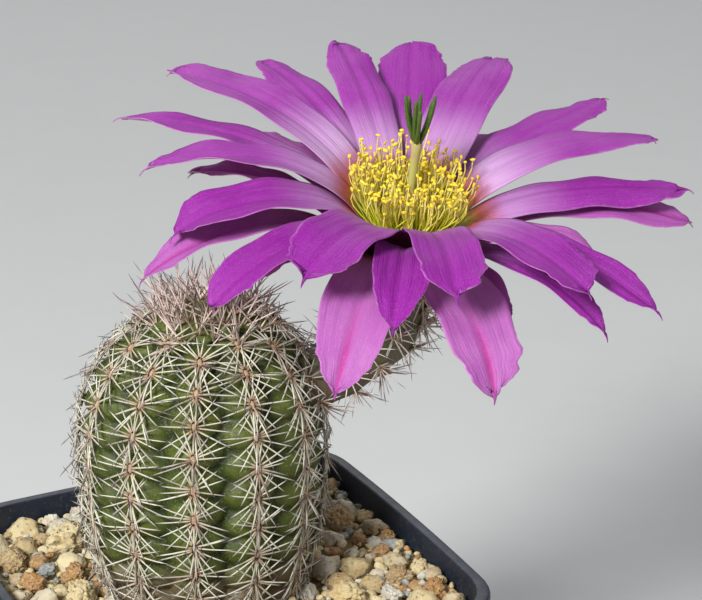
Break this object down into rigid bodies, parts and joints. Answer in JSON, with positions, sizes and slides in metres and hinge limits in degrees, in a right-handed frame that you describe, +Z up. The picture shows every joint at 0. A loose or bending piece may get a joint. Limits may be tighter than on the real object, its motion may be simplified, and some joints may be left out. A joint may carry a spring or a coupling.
{
  "type": "potted hedgehog cactus in flower",
  "caption": "Ribbed, spiny barrel cactus in a square tapered nursery pot of pumice gravel, with a wide open flower of layered magenta tepals on a spiny tube at its shoulder.",
  "frame": {"origin": "middle of the pot's underside, in the plane that it stands on", "axes": "+Z up; X and Y run along the pot's sides; the plant is turned 26 degrees clockwise in the pot, seen from above, so its flower leans out over the +X side and a little towards -Y"},
  "size_m": [0.1035, 0.0845, 0.1435],
  "materials": {
    "pot_plastic": "satin",
    "pumice": "matte",
    "pumice_stone": "matte",
    "stem_skin": "satin",
    "tube_skin": "matte",
    "tepal_inner": "satin",
    "tepal_middle": "satin",
    "tepal_outer": "satin",
    "anther_yellow": "matte",
    "stigma_green": "matte"
  },
  "bodies": {
    "root": {"pot": "pot_plastic", "gravel_bed": "pumice", "stone_01": "pumice_stone", "stone_02": "pumice_stone", "stone_03": "pumice_stone", "stone_04": "pumice_stone", "stone_05": "pumice_stone", "stone_06": "pumice_stone", "stone_07": "pumice_stone", "stone_08": "pumice_stone", "stone_09": "pumice_stone", "stone_10": "pumice_stone", "stone_11": "pumice_stone", "stone_12": "pumice_stone", "stone_13": "pumice_stone", "stone_14": "pumice_stone", "stone_15": "pumice_stone", "stone_16": "pumice_stone", "stone_17": "pumice_stone", "stone_18": "pumice_stone", "stone_19": "pumice_stone", "stone_20": "pumice_stone", "stone_21": "pumice_stone", "stone_22": "pumice_stone", "stone_23": "pumice_stone", "stone_24": "pumice_stone", "stem": "stem_skin", "flower_tube": "tube_skin", "inner_tepal_1": "tepal_inner", "inner_tepal_2": "tepal_inner", "inner_tepal_3": "tepal_inner", "inner_tepal_4": "tepal_inner", "inner_tepal_5": "tepal_inner", "inner_tepal_6": "tepal_inner", "inner_tepal_7": "tepal_inner", "inner_tepal_8": "tepal_inner", "inner_tepal_9": "tepal_inner", "inner_tepal_10": "tepal_inner", "middle_tepal_1": "tepal_middle", "middle_tepal_2": "tepal_middle", "middle_tepal_3": "tepal_middle", "middle_tepal_4": "tepal_middle", "middle_tepal_5": "tepal_middle", "middle_tepal_6": "tepal_middle", "middle_tepal_7": "tepal_middle", "middle_tepal_8": "tepal_middle", "outer_tepal_1": "tepal_outer", "outer_tepal_2": "tepal_outer", "outer_tepal_3": "tepal_outer", "outer_tepal_4": "tepal_outer", "outer_tepal_5": "tepal_outer", "outer_tepal_6": "tepal_outer", "outer_tepal_7": "tepal_outer", "outer_tepal_8": "tepal_outer", "outer_tepal_9": "tepal_outer", "outer_tepal_10": "tepal_outer", "outer_tepal_11": "tepal_outer", "stamens": "anther_yellow", "pistil": "stigma_green"}
  },
  "joints": []
}
